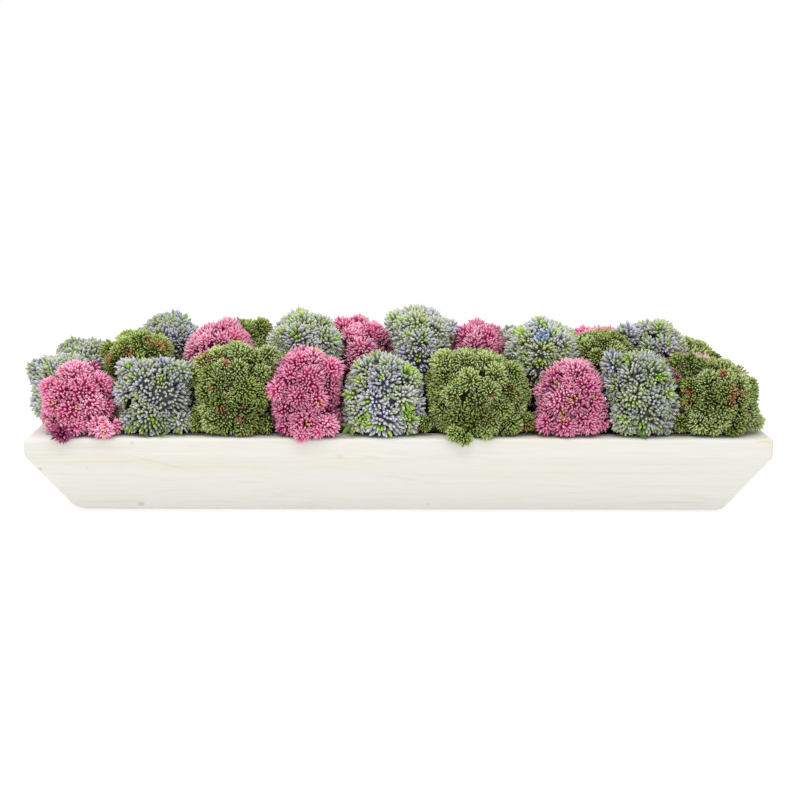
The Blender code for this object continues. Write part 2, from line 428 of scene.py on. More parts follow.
def place_tufts(solid, look, rng):
    """Middle, radius, outward direction and colour group of each of a head's tufts.

    The tufts that are laid as in the photograph come first. Each new one goes where the
    head's skin is farthest from all tufts so far. Once the gaps are small, smaller tufts
    that lie a little deeper fill them. Those over the rim and at the outline come last.
    """
    ways = even_directions(CANDIDATES, rng, CANDIDATE_SHAKE)
    reach = solid.reach(ways)
    skin = solid.centre + ways * reach[:, None]
    tufts = [(*lay_tuft(solid, look, x, y, size), group) for x, y, size, group in solid.laid]
    gaps = np.full(CANDIDATES, np.inf)
    for middle, radius, _, _ in tufts:
        gaps = np.minimum(gaps, distances(skin, middle) - radius)
    pick = int(gaps.argmax())
    while gaps[pick] > look.fill_gap:
        if gaps[pick] > look.tuft_gap:
            radius = look.tuft_radius * rng.uniform(*look.tuft_range)
            sunk = rng.uniform(*TUFT_DEPTH)
        else:
            radius = look.tuft_radius * rng.uniform(*look.filler_range)
            sunk = rng.uniform(*FILLER_DEPTH)
        distance = max(reach[pick] + STAND_OUT - radius - sunk, LEAST_REACH * reach[pick])
        middle = solid.centre + ways[pick] * distance
        tufts.append((middle, radius, ways[pick], None))
        gaps = np.minimum(gaps, distances(skin, middle) - radius)
        gaps[pick] = 0.0
        pick = int(gaps.argmax())
    for x, y, depth, size, group in solid.extra:
        place, radius = in_space(x, y, depth, size)
        tufts.append((place, radius, unit(place - solid.centre), group))
    return tufts


def sees_daylight(blockers, tips, axes):
    """True for each bud from which the straight way out, or some slanting ones, are open."""
    open_buds = np.zeros(len(tips), dtype=bool)
    for index, (tip, axis) in enumerate(zip(tips, axes)):
        axis = Vector(axis)
        start = Vector(tip) - axis * DAYLIGHT_START
        if blockers.ray_cast(start, axis, DAYLIGHT_REACH)[0] is None:
            open_buds[index] = True
            continue
        across = axis.orthogonal().normalized()
        second = axis.cross(across)
        found = 0
        for lean, turn in SLANTS:
            way = axis + (across * math.cos(turn) + second * math.sin(turn)) * lean
            if blockers.ray_cast(start, way.normalized(), DAYLIGHT_REACH)[0] is None:
                found += 1
                if found == FEWEST_OPEN:
                    open_buds[index] = True
                    break
    return open_buds


def in_wood(points):
    """True for each point that lies in or under the rim, or inside the trough."""
    along, across, height = points.T
    over_trough = (np.abs(along) < HALF_LENGTH + WOOD_GAP) & (
        np.abs(across) < HALF_DEPTH + WOOD_GAP)
    return over_trough & (height < RIM + WOOD_GAP)


def pick_column(look, groups, tones):
    """Colour column for each bud, from its group's name and its tone of 0 to 1."""
    columns = np.zeros(len(groups))
    for name, band in look.palette.items():
        chosen = groups == name
        columns[chosen] = band.first + np.floor(np.clip(tones[chosen], 0, 0.999) * band.width)
    return columns


def lumpy(directions, seed_place):
    """Slow bumps over a sphere, from about -1 to 1."""
    return np.array([noise.noise(Vector(way) * LUMP_SCALE + seed_place) for way in directions])


# Painted light: how much lighter or darker than the front row's average a row is, as light falls
# on the rows unevenly. Single heads differ more, partly in their own tone and partly as painted
# light.
ROW_PAINTED_LIGHT = {"front": 0.0, "middle": 0.14, "back": 0.06}
HEAD_TONE_AND_LIGHT = {
    "green_head_middle_2": 0.34,
    "lavender_head_front_5": 0.24,
    "lavender_head_front_8": -0.06,
    "lavender_head_middle_4": 0.18,
    "lavender_head_middle_6": 0.48,
    "lavender_head_middle_8": 0.34,
    "lavender_head_middle_10": 0.22,
    "pink_head_front_1": 0.26,
    "pink_head_front_7": -0.06,
    "pink_head_middle_5": 0.26,
    "pink_head_middle_7": -0.26,
}


def scatter(rng, count, mean, spread, least, most):
    return rng.normal(mean, spread, count).clip(least, most)


def push_in(solid, tips, most):
    """The tips, pulled toward the head's middle where they stand out of it by too much."""
    from_centre = tips - solid.centre
    far = distances(tips, solid.centre)
    limit = solid.reach(from_centre / far[:, None]) + most
    return solid.centre + from_centre * (np.minimum(far, limit) / far)[:, None]


def grow_head(solid, blockers, rng, spots):
    """All the buds of one head, and the dark core under them in painted shade, as one surface."""
    look = LOOKS[solid.kind]
    shape = bud_template(look.bud_rings, look.bud_sides)
    tufts = place_tufts(solid, look, rng)
    middles = np.array([tuft[0] for tuft in tufts])
    radii = np.array([tuft[1] for tuft in tufts])
    surface = Surface()
    names = [name for name, _ in look.tuft_groups]
    shares = np.array([share for _, share in look.tuft_groups])
    leaning = rng.dirichlet(shares * LEANING)
    for index, (middle, radius, way, laid_group) in enumerate(tufts):
        stays_in = index < len(tufts) - len(solid.extra)
        count = int(4.0 * math.pi * radius**2 / (HEXAGON_SHARE * look.bud_spacing**2))
        directions = even_directions(count, rng, DIRECTION_SHAKE * look.bud_spacing / radius)
        lengths = look.bud_length * scatter(rng, count, *BUD_LENGTHS)
        lumps = 1.0 + LUMPINESS * lumpy(directions, Vector(rng.uniform(-9.0, 9.0, 3)))
        uneven = scatter(rng, count, *TIP_HEIGHTS)
        spread = rng.normal(scale=AXIS_SPREAD, size=directions.shape)
        axes = unit(directions + OUTWARD_LEAN * way + spread)
        tips = middle + directions * (radius * lumps + look.bud_length * uneven)[:, None]
        depths = np.array([other - distances(tips, place)
                           for number, (place, other) in enumerate(zip(middles, radii))
                           if number != index])
        inside = depths.max(axis=0, initial=-1.0) / look.bud_length
        if stays_in:
            tips = push_in(solid, tips, rng.uniform(*PAST_SOLID, count))
        own = rng.uniform(size=count) < look.own_share
        own_group = laid_group or rng.choice(names, p=leaning)
        groups = np.where(own, own_group, rng.choice(names, count, p=leaning)).astype("U8")
        # Painted shade in the crevices between tufts.
        hollow = np.clip((inside + CREVICE_WIDTH) / (CREVICE_WIDTH + BURIED), 0.0, 1.0)
        tones = rng.normal(rng.uniform(*TUFT_TONES), TONE_SPREAD, count)
        tones -= CREVICE_SHADE * hollow**2
        # Painted light by row, and by head partly own tone and partly painted light.
        tones += ROW_PAINTED_LIGHT[solid.row] + HEAD_TONE_AND_LIGHT.get(solid.name, 0.0)
        for name, chance, smallest, largest, share in look.patches:
            place = middle + unit(way + rng.normal(scale=PATCH_SPREAD, size=3)) * radius
            size = rng.uniform(smallest, largest) * MM
            drawn = rng.uniform(size=count) < share
            if rng.uniform() < chance:
                groups[(distances(tips, place) < size) & drawn] = name
        for place, size, name in spots:
            drawn = rng.uniform(size=count) < SPOT_SHARE
            groups[(distances(tips, place) < size) & drawn] = name
        keep = (inside < BURIED) & (directions @ way > BACK_OF_TUFT) & ~in_wood(tips)
        kept = np.flatnonzero(keep)
        kept = kept[sees_daylight(blockers, tips[kept], axes[kept])]
        if len(kept) == 0:
            continue
        widths = look.bud_half_width * scatter(rng, count, *BUD_WIDTHS)
        turns = rng.uniform(0.0, 2.0 * math.pi, count)
        columns = pick_column(look, groups, tones)
        feet = tips - axes * lengths[:, None]
        add_buds(surface, shape, feet[kept], axes[kept], lengths[kept], widths[kept],
                 turns[kept], columns[kept])
    add_core(surface, solid, look, middles, radii - CORE_DEPTH * look.bud_length)
    return surface


def add_core(surface, solid, look, middles, radii):
    """One closed dark lump that fills a head under its buds, its colour painted shade."""
    work = bmesh.new()
    bmesh.ops.create_icosphere(work, subdivisions=CORE_DETAIL, radius=1.0)
    directions = np.array([vertex.co for vertex in work.verts])
    faces = np.array([[vertex.index for vertex in face.verts] for face in work.faces])
    work.free()
    offsets = middles - solid.centre
    along = directions @ offsets.T
    room = radii**2 - (offsets**2).sum(axis=1) + along**2
    surfaces = np.where(room > 0, along + np.sqrt(np.maximum(room, 0)), 0.0)
    limit = solid.reach(directions) - CORE_UNDER_SKIN * look.bud_length
    distance = surfaces.max(axis=1).clip(CORE_LEAST * solid.mean_radius)
    distance = np.minimum(distance, limit)
    points = solid.centre + directions * distance[:, None]
    # The core columns of the palette are painted shade.
    band = look.palette["core"]
    left = (band.first + 0.5 - COLUMN_FILL) / COLUMNS
    right = (band.first + 0.5 + COLUMN_FILL) / COLUMNS
    low, high = CORE_ON_MAP
    places = np.tile([(left, low), (right, low), (right, high)], (len(faces), 1))
    surface.add(points, faces.ravel(), np.full(len(faces), 3), places)


def feed(tree, socket, value):
    """Give an input a value, or a link if the value is another node's output."""
    if isinstance(value, bpy.types.NodeSocket):
        tree.links.new(value, socket)
    else:
        socket.default_value = value


def add_node(tree, kind, inputs, **settings):
    """A new shader node with its settings, and the values or links of its inputs."""
    node = tree.nodes.new(f"ShaderNode{kind}")
    for name, value in settings.items():
        setattr(node, name, value)
    for name, value in inputs.items():
        feed(tree, node.inputs[name], value)
    return node


def principled(name, roughness, specular=0.5):
    """A new material, its nodes and its main shader."""
    material = bpy.data.materials.new(name)
    material.use_nodes = True
    tree = material.node_tree
    shader = tree.nodes["Principled BSDF"]
    shader.inputs["Roughness"].default_value = roughness
    shader.inputs["Specular IOR Level"].default_value = specular
    return material, tree, shader


def math_node(tree, operation, *values):
    return add_node(tree, "Math", dict(enumerate(values)), operation=operation).outputs[0]


def mix_colour(tree, blend, factor, first, second):
    """A mix of two colours, each of them a socket or a linear colour."""
    inputs = {0: factor}
    for number, colour in ((6, first), (7, second)):
        inputs[number] = (*colour, 1.0) if isinstance(colour, tuple) else colour
    return add_node(tree, "Mix", inputs, data_type="RGBA", blend_type=blend).outputs[2]


def ramp(tree, value, stops):
    """A colour ramp of (position, linear colour) stops, read at a socket."""
    node = add_node(tree, "ValToRGB", {0: value})
    elements = node.color_ramp.elements
    while len(elements) < len(stops):
        elements.new(0.5)
    for element, (position, colour) in zip(elements, stops):
        element.position = position
        element.color = (*colour, 1.0)
    return node.outputs[0]


def tints(tree, value, *stops):
    """A ramp of (position, colour of 0 to 255, as seen on a screen) stops."""
    return ramp(tree, value, [(position, linear(colour)) for position, colour in stops])


def greys(tree, value, *stops):
    """A ramp of (position, linear grey) stops."""
    return ramp(tree, value, [(position, (grey,) * 3) for position, grey in stops])


def object_place(tree):
    return add_node(tree, "TexCoord", {}).outputs["Object"]


def stretched_noise(tree, position, scale, detail, roughness=0.5):
    """Noise in object space, with its own scale along each axis."""
    mapping = add_node(tree, "Mapping", {"Vector": position, "Scale": scale})
    inputs = {"Vector": mapping.outputs[0], "Scale": 1.0, "Detail": detail,
              "Roughness": roughness}
    return add_node(tree, "TexNoise", inputs).outputs["Fac"]


def add_bump(tree, shader, height, strength, distance):
    inputs = {"Height": height, "Strength": strength, "Distance": distance}
    feed(tree, shader.inputs["Normal"], add_node(tree, "Bump", inputs).outputs[0])


def bud_material(kind):
    """Buds: one column of the palette each, dark at the foot as painted shade of the gaps, and
    pale at the tip, partly the buds' own paler tips and partly a painted highlight.
    """
    look = LOOKS[kind]
    material, tree, shader = principled(f"{kind}_buds", look.roughness, 0.42)
    places = add_node(tree, "UVMap", {}, uv_map=COLOUR_MAP)
    split = add_node(tree, "SeparateXYZ", {0: places.outputs[0]})
    across, up = split.outputs["X"], split.outputs["Y"]
    stops, tip_and_highlight_stops = [], []
    for band in look.palette.values():
        start = band.first / COLUMNS
        end = (band.first + band.width) / COLUMNS - 0.001
        stops += [(start, band.dark), (end, band.light)]
        tip_and_highlight_stops += [(start, band.tip), (end, band.tip)]
    # Painted shade: each bud is darkened toward its foot, as in the gaps among the buds.
    shade = ramp(tree, up, [(0.10, look.foot), (0.75, (1.0, 1.0, 1.0))])
    lit = mix_colour(tree, "MULTIPLY", 1.0, tints(tree, across, *stops), shade)
    # Each tip is mixed toward its tip colour: partly the buds' own paler tips, partly a painted
    # highlight.
    pale_tip_and_highlight = greys(tree, up, (0.60, 0.0), (0.84, 0.55), (1.0, 1.0))
    amount = math_node(tree, "MULTIPLY", pale_tip_and_highlight, look.tip_and_highlight_strength)
    tipped = mix_colour(tree, "MIX", amount, lit, tints(tree, across, *tip_and_highlight_stops))
    feed(tree, shader.inputs["Base Color"], tipped)
    return material


CAMERA_PLACE = Vector((CAMERA_RIGHT, -HALF_DEPTH - CAMERA_TO_FRONT, RIM + CAMERA_OVER_RIM))
CAMERA_TURN = Euler((math.pi / 2.0 - CAMERA_PITCH, CAMERA_ROLL, 0.0))


def make_camera():
    data = bpy.data.cameras.new("camera")
    data.sensor_width = SENSOR_WIDTH
    data.lens = FOCAL_PIXELS / IMAGE_SIZE * SENSOR_WIDTH
    camera = add_object("camera", data)
    camera.location = CAMERA_PLACE
    camera.rotation_euler = CAMERA_TURN
    bpy.context.scene.camera = camera


def pixel_ray(x, y):
    """Direction from the lens through a pixel of the photograph."""
    right = (x - IMAGE_SIZE / 2.0) / FOCAL_PIXELS
    down = (y - IMAGE_SIZE / 2.0) / FOCAL_PIXELS
    return (CAMERA_TURN.to_matrix() @ Vector((right, -down, -1.0))).normalized()


def in_space(x, y, depth, size):
    """The place that a pixel shows at a depth in millimetres, and a size there in metres."""
    ray = pixel_ray(x, y)
    far = (depth * MM - CAMERA_PLACE.y) / ray.y
    forward = CAMERA_TURN.to_matrix() @ Vector((0.0, 0.0, -1.0))
    return np.array(CAMERA_PLACE + ray * far), size * far * ray.dot(forward) / FOCAL_PIXELS


def rows(text):
    """The rows of a table: numbers and a colour group each, with commas between the rows."""
    parts = [row.split() for row in text.split(",") if row]
    return [(*map(float, part[:-1]), part[-1]) for part in parts]


# Patches of other colours that stand out: x and y in the 800 x 800 photograph, radius in
# millimetres and the colour group.
SPOTS = """53 404 4 gold, 78 405 4 gold, 100 419 6 gold, 61 436 12 plum, 132 376 8 lime,
    158 364 5 lime, 184 369 5 lime, 148 423 9 lime, 175 386 5 lime, 124 406 5 lime, 178 418 5 lime,
    203 361 9 rust, 226 360 7 rust, 211 388 7 rust, 221 412 6 rust, 243 408 5 rust, 238 420 5 rust,
    107 358 8 rust, 126 350 7 rust, 154 341 8 rust, 166 345 7 rust, 307 424 7 gold, 320 402 4 gold,
    273 398 5 gold, 334 406 8 plum, 364 420 9 lime, 413 412 9 lime, 414 367 6 lime, 358 363 6 lime,
    381 378 6 lime, 468 372 3 red, 455 378 3 red, 491 395 3 red, 512 389 4 red, 454 401 3 red,
    573 400 7 gold, 562 417 5 gold, 539 398 4 gold, 659 377 9 lime, 626 358 6 lime, 605 397 4 lime,
    627 422 6 lime, 643 427 5 lime, 674 397 5 lime, 738 390 8 rust, 732 402 7 rust, 749 412 6 rust,
    688 395 8 rust, 680 410 6 rust, 722 370 6 rust, 532 396 6 rust, 521 425 6 rust, 541 332 8 blue,
    541 364 7 lime, 296 338 7 lime, 404 335 6 lime, 392 340 5 gold, 642 348 6 lime,
    627 322 6 lime"""

# Tufts on the skin of a head: x and y in the photograph, radius in pixels and colour group.
# Tufts of the deep group at the lower edges of the green heads are painted shade there.
LAID_TUFTS = {
    "pink_head_front_1": """74 371 15 pale, 84 390 13 petal, 105 386 13 petal, 60 392 11 petal,
    52 405 12 petal, 91 406 13 pale, 109 412 12 petal, 70 415 13 petal""",
    "lavender_head_front_2": """165 398 26 grey, 140 379 20 grey, 171 368 16 haze, 147 415 16 sage,
    121 393 14 haze""",
    "green_head_front_3": """214 353 12 light, 242 351 13 light, 262 358 11 olive,
    238 368 11 light, 222 366 9 light, 265 372 10 light, 217 386 12 olive, 202 394 10 olive,
    247 390 15 olive, 262 395 11 olive, 219 405 11 deep, 206 414 11 light, 243 414 14 deep""",
    "pink_head_front_4": """297 360 11 petal, 316 358 12 pale, 335 368 12 pale, 286 376 10 petal,
    311 379 13 petal, 277 393 12 petal, 333 387 11 petal, 297 398 10 petal, 283 413 11 petal,
    317 402 11 petal""",
    "lavender_head_front_5": """361 366 13 sage, 384 382 17 haze, 391 362 12 grey, 412 379 15 sage,
    405 399 15 grey, 372 404 15 haze, 349 396 11 grey, 357 416 15 sage""",
    "green_head_front_6": """462 359 13 light, 485 356 9 light, 440 373 13 olive, 498 374 13 light,
    467 380 13 light, 490 391 12 light, 449 396 12 light, 515 392 12 olive, 477 406 14 olive,
    438 413 12 olive, 505 411 12 olive, 521 411 10 light, 458 417 12 olive, 486 422 12 deep""",
    "pink_head_front_7": """580 370 13 pale, 552 387 10 plum, 560 401 15 pale, 590 387 12 petal,
    577 405 12 petal, 597 402 10 petal, 546 414 11 petal""",
    "lavender_head_front_8": """612 364 12 haze, 628 360 11 sage, 611 385 12 haze, 655 373 17 sage,
    634 399 15 sage, 656 404 14 haze, 624 417 13 grey, 668 396 11 grey""",
    "green_head_front_9": """695 362 11 olive, 706 380 12 light, 688 386 12 olive,
    727 378 11 light, 727 392 12 olive, 743 383 10 light, 741 401 11 olive, 710 401 12 deep,
    687 404 10 olive, 728 409 11 olive, 700 418 13 light, 721 423 11 light,
    741 418 10 olive""",
    "lavender_head_middle_4": """297 337 16 haze, 302 317 12 sage, 329 338 15 grey,
    325 321 11 grey, 280 332 9 sage""",
    "lavender_head_middle_6": """418 320 13 sage, 421 341 16 haze, 440 327 14 grey,
    402 322 10 grey""",
    "lavender_head_middle_8": """541 323 12 haze, 525 337 12 grey, 542 351 16 sage,
    563 342 14 grey, 551 333 11 haze""",
    "lavender_head_middle_10": """632 333 13 haze, 660 326 12 sage, 667 344 12 haze,
    650 348 12 grey""",
    "green_head_middle_2": """140 337 13 olive, 122 346 12 olive, 155 348 12 deep,
    112 362 11 deep""",
}

# Tufts that stand out of a head, over the rim or at its outline: x and y in the photograph,
# place along Y in millimetres, radius in pixels and colour group.
# Tufts of the deep group in the gaps at the heads' bottoms are painted shade.
EXTRA_TUFTS = {
    "pink_head_front_1": """62 433 -118 11 plum, 99 427 -106 13 pale, 76 426 -106 12 petal,
    94 367 -62 8 plum, 50 387 -90 11 petal, 114 427 -98 10 petal, 105 430 -115 10 pale""",
    "pink_head_front_4": """305 425 -107 17 petal, 326 426 -106 14 pale, 277 390 -103 12 petal,
    312 360 -85 14 pale, 332 369 -90 13 petal, 302 434 -118 10 petal, 318 432 -117 8 petal""",
    "green_head_middle_2": """109 349 -1 10 olive""",
    "green_head_front_3": """204 364 -82 12 light, 268 357 -76 13 light, 236 352 -76 12 olive,
    197 423 -94 11 deep, 211 422 -98 12 light, 268 424 -94 11 deep, 246 421 -98 15 deep""",
    "green_head_front_6": """455 433 -117 10 olive, 464 438 -119 9.5 olive, 486 433 -114 8 olive,
    444 363 -80 15 light, 512 372 -88 12 olive, 424 423 -94 10 deep, 512 424 -98 12 olive,
    527 422 -92 11 deep""",
    "pink_head_front_7": """565 426 -104 13 petal, 605 411 -92 8 petal, 546 424 -100 12 petal,
    588 424 -101 13 petal, 603 424 -94 9 petal""",
    "green_head_front_9": """755 422 -80 10.5 light, 690 365 -78 13 deep, 733 384 -88 11 olive,
    743 399 -70 9 light, 678 364 -74 12 deep, 680 423 -94 11 deep, 699 423 -98 13 light""",
    "lavender_head_front_2": """128 370 -82 13 haze, 183 371 -80 12 grey, 130 423 -94 12 haze,
    181 422 -94 13 haze""",
    "lavender_head_front_5": """359 424 -98 12 sage, 409 423 -96 13 sage""",
    "lavender_head_front_8": """613 364 -82 14 haze, 627 424 -100 12 sage, 661 423 -97 13 haze""",
    "lavender_head_middle_1": """39 371 -3 13 haze""",
    "lavender_head_back_1": """67 351 60 10.5 haze, 98 349 60 10 grey""",
    "lavender_head_middle_4": """294 326 3 14 grey, 301 318 3 11 sage""",
    "lavender_head_middle_6": """398 323 5 15 grey, 430 321 5 14 haze, 447 329 5 13 haze,
    415 319 5 15 sage""",
    "lavender_head_middle_10": """626 336 20 15 haze, 660 331 36 13.5 sage, 646 333 36 14 grey,
    674 346 36 7 haze""",
    "pink_head_middle_3": """228 329 3 13 pale""",
    "pink_head_middle_5": """343 328 30 13 petal, 354 333 30 12 petal""",
    "pink_head_middle_7": """491 333 12 11 petal""",
    "pink_head_back_7": """607 334 74 9.5 petal""",
    "green_head_back_3": """261 329 66 12.5 olive""",
}

# Dents in the heads' outlines: x and y in the photograph, place along Y in millimetres and
# radius in pixels.
DENTS = {
    "pink_head_front_7": ((541, 356, -82, 20),),
    "pink_head_front_4": ((268, 353, -80, 18), (266, 434, -95, 15)),
    "green_head_front_9": ((754, 352, -72, 26), (769, 384, -72, 12)),
    "green_head_back_8": ((724, 336, 69, 21), (704, 320, 69, 21)),
    "lavender_head_middle_4": ((326, 298, 3, 20),),
    "lavender_head_middle_6": ((383, 344, 0, 21),),
    "lavender_head_middle_8": ((562, 305, 0, 21), (524, 302, 0, 17)),
    "pink_head_middle_5": ((382, 308, 42, 21),),
    "pink_head_back_7": ((586, 307, 74, 21), (572, 311, 74, 21)),
    "lavender_head_back_2": ((193, 306, 73, 17),),
}


def find_spots(solids):
    """Where each spot's ray meets the heads' solids: (place, radius, group) by node."""
    found = {solid.name: [] for solid in solids}
    for x, y, radius, group in rows(SPOTS):
        ray = pixel_ray(x, y)
        hits = [(solid.tree.ray_cast(CAMERA_PLACE, ray), solid) for solid in solids]
        hits = [(hit[3], hit[0], solid) for hit, solid in hits if hit[0] is not None]
        if hits:
            _, place, solid = min(hits, key=lambda hit: hit[0])
            if group in LOOKS[solid.kind].palette:
                found[solid.name].append((np.array(place), radius * MM, group))
    return found


def build_heads():
    names = sorted(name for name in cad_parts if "_head_" in name)
    solids = [Solid(name) for name in names]
    spots = find_spots(solids)
    materials = {kind: bud_material(kind) for kind in LOOKS}
    for number, solid in enumerate(solids):
        name, kind = solid.name, solid.kind
        rng = np.random.default_rng(FIRST_SEED + number)
        blockers = tree_of(names + ["planter", "moss_bed"], shrunk=name)
        surface = grow_head(solid, blockers, rng, spots[name])
        mesh = surface.to_mesh(f"{name}_buds", materials[kind])
        make_piece(f"{name}_buds", mesh, (name,))


# Trough mesh: rings of points round a rectangle with rounded corners, one ring for each
# height and inset of its outline. The left end is worked rounder than the rest.
LONG_STEPS = 96
SHORT_STEPS = 28
CORNER_STEPS = 7
CRISP = SimpleNamespace(foot=0.0100, waist=0.0060, rim=0.0030, plan=(0.0045, 0.0060))
SOFT = SimpleNamespace(foot=0.0150, waist=0.0160, rim=0.0065, plan=(0.0100, 0.0090))
SOFT_FROM = 0.046    # the rounder working starts this far from the left end
SOFT_OVER = 0.034    # and is complete after this much more
UNDERSIDE_EDGE = 0.002    # no tool marks below this height
SOFT_PROUD = 0.0040  # the left end's band stands out this much more, and its foot half of it


def arc(centre_z, centre_inset, radius, start, end, steps):
    """Heights and insets along an arc. Angle 0 points out of the trough, 90 points up."""
    profile = []
    for step in range(steps + 1):
        angle = math.radians(start + (end - start) * step / steps)
        height = centre_z + radius * math.sin(angle)
        inset = centre_inset - radius * math.cos(angle)
        profile.append((height, inset))
    return profile


def straight(first, last, steps):
    """Points between two profile points, without the two."""
    shares = [step / steps for step in range(1, steps)]
    return [tuple(a + (b - a) * share for a, b in zip(first, last)) for share in shares]


def trough_profile(radii):
    """Heights and insets from the edge of the underside, over the rim, to the hollow's floor.

    The outside's and the inside's points come apart.
    """
    slope = math.atan2(RIM - BAND, TAPER)
    lean = math.degrees(math.pi / 2.0 - slope)
    foot_inset = TAPER + radii.foot * math.tan(slope / 2.0)
    foot = arc(radii.foot, foot_inset, radii.foot, -90.0, -lean, 6)
    waist_run = radii.waist * math.tan(math.radians(lean) / 2.0)
    waist = arc(RIM - BAND + waist_run, radii.waist, radii.waist, -lean, 0.0, 5)
    outer_edge = arc(RIM - radii.rim, radii.rim, radii.rim, 0.0, 90.0, 5)
    inner = CRISP.rim
    inner_edge = arc(RIM - inner, RIM_WALL - inner, inner, 90.0, 180.0, 4)
    hollow_lean = TAPER * (RIM - BAND - FLOOR) / (RIM - BAND)
    outside = foot + straight(foot[-1], waist[0], 13) + waist
    outside += straight(waist[-1], outer_edge[0], 4) + outer_edge
    inside = straight(outer_edge[-1], inner_edge[0], 4) + inner_edge
    inside += [(RIM - BAND, RIM_WALL), (FLOOR, RIM_WALL + hollow_lean)]
    return outside, inside


def ring_points(inset, plan_radii):
    """Outline of a rectangle with four rounded corners, as x and y."""
    half_x, half_y = HALF_LENGTH - inset, HALF_DEPTH - inset
    points = []
    corners = ((1, -1), (1, 1), (-1, 1), (-1, -1))
    for index, (side_x, side_y) in enumerate(corners):
        radius = plan_radii[index]
        start = index * 90.0 - 90.0
        for step in range(CORNER_STEPS + 1):
            angle = math.radians(start + 90.0 * step / CORNER_STEPS)
            points.append((side_x * (half_x - radius) + radius * math.cos(angle),
                           side_y * (half_y - radius) + radius * math.sin(angle)))
        after = (index + 1) % 4
        next_radius = plan_radii[after]
        end_x = corners[after][0] * (half_x - (next_radius if index % 2 else 0.0))
        end_y = corners[after][1] * (half_y - (0.0 if index % 2 else next_radius))
        steps = LONG_STEPS if index % 2 else SHORT_STEPS
        points += straight(points[-1], (end_x, end_y), steps)
    return points


# Corner radii seen from above: right front, right back, left back and left front.
OUTSIDE_CORNERS = (*CRISP.plan, *SOFT.plan)
INSIDE_CORNERS = (0.0004,) * 4

# Cuts in the wood: how close together they are, and how deep.
WAVES, WAVE_DEPTH = 13.0, 0.00055
TOOL_MARKS, MARK_DEPTH = Vector((22.0, 80.0, 80.0)), 0.00016


def carve(point):
    """A hand-worked surface: slow waves and small tool marks, cut into the wood."""
    slow = abs(noise.noise(point * WAVES)) * WAVE_DEPTH
    fine = abs(noise.noise(point * TOOL_MARKS)) * MARK_DEPTH
    past_corner = HALF_LENGTH - abs(point.x) - (HALF_DEPTH - abs(point.y))
    inward = Vector((-point.x, 0.0, 0.0)) if past_corner < 0.0 else Vector((0.0, -point.y, 0.0))
    depth = (slow + fine) * min(0.25 + abs(past_corner) / 0.020, 1.0)
    return point + inward.normalized() * depth


def build_trough():
    work = bmesh.new()
    rings = []
    crisp_outside, crisp_inside = trough_profile(CRISP)
    soft_outside, soft_inside = trough_profile(SOFT)
    profiles = zip(crisp_outside + crisp_inside, soft_outside + soft_inside)
    for (crisp_z, crisp_inset), (soft_z, soft_inset) in profiles:
        outside = len(rings) < len(crisp_outside)
        corners = OUTSIDE_CORNERS if outside or crisp_z > RIM - 0.0001 else INSIDE_CORNERS
        ring = []
        pairs = zip(ring_points(crisp_inset, corners), ring_points(soft_inset, corners))
        for crisp, soft in pairs:
            from_end = HALF_LENGTH - crisp_inset + crisp[0]
            share = min(max((SOFT_FROM - from_end) / SOFT_OVER, 0.0), 1.0)
            share = share * share * (3.0 - 2.0 * share)
            point = Vector((*crisp, crisp_z)).lerp(Vector((*soft, soft_z)), share)
            point.x -= SOFT_PROUD * share * (0.5 + 0.5 * min(crisp_z / (RIM - BAND), 1.0))
            if point.z > UNDERSIDE_EDGE and outside:
                point = carve(point)
            ring.append(work.verts.new(point))
        rings.append(ring)
    skin_rings(work, rings)
    mesh = finish_mesh(work, "whitewashed_trough", wood_material())
    mesh.set_sharp_from_angle(angle=math.radians(50.0))
    make_piece("whitewashed_trough", mesh, ("planter",))


# Marks on the front, placed in the photograph. Knots: x, y, radius in millimetres, strength.
KNOTS = ((132, 443, 1.2, 0.45), (40, 469, 1.4, 0.7), (87, 468, 1.1, 0.2),
         (141, 504, 2.2, 0.5), (340, 457, 2.4, 0.2), (428, 504, 1.2, 0.25))
# Ochre streaks: x and y of both ends, half the thickness in millimetres and the strength.
STREAKS = (
    (60, 450, 130, 451, 2.6, 0.35), (118, 457, 205, 476, 1.3, 0.55),
    (122, 479, 196, 489, 1.1, 0.45), (90, 503, 150, 504, 2.0, 0.40),
    (330, 455, 420, 463, 1.4, 0.30), (345, 472, 455, 480, 1.6, 0.40),
    (455, 452, 560, 447, 1.5, 0.35), (470, 497, 600, 488, 1.6, 0.40),
    (606, 466, 712, 464, 1.6, 0.40), (618, 504, 716, 499, 1.8, 0.50),
    (240, 447, 330, 444, 1.4, 0.30), (250, 492, 330, 500, 1.5, 0.30),
)
STREAK_STRENGTH = 0.7
STREAK_REACH = 0.020      # into the wood

WASH = (223, 222, 217)
WASH_WARM = (223, 220, 210)
WASH_COOL = (221, 221, 217)
OCHRE = (236, 222, 188)
KNOT = (176, 154, 116)


def on_trough(x, y):
    """Where the photograph's pixel lies on the trough."""
    return tree_of(["planter"]).ray_cast(CAMERA_PLACE, pixel_ray(x, y))[0]


def fall(tree, mapping, ragged, start, end, **settings):
    """1 where a mapped place is near 0, falling to 0 from a start to an end distance."""
    length = add_node(tree, "VectorMath", {0: mapping.outputs[0]}, operation="LENGTH")
    far = length.outputs["Value"]
    if ragged is not None:
        far = math_node(tree, "ADD", far, ragged)
    inputs = {"Value": far, "From Min": start, "From Max": end, "To Min": 1.0, "To Max": 0.0}
    return add_node(tree, "MapRange", inputs, **settings).outputs["Result"]


def patch_mask(tree, position, centre, size, softness, ragged):
    """1 near a centre and 0 past a size given along each axis, with a ragged edge."""
    scale = [1.0 / value for value in size]
    shift = [-c * s for c, s in zip(centre, scale)]
    inputs = {"Vector": position, "Scale": scale, "Location": shift}
    mapping = add_node(tree, "Mapping", inputs)
    return fall(tree, mapping, ragged, 1.0 - softness, 1.0 + softness)


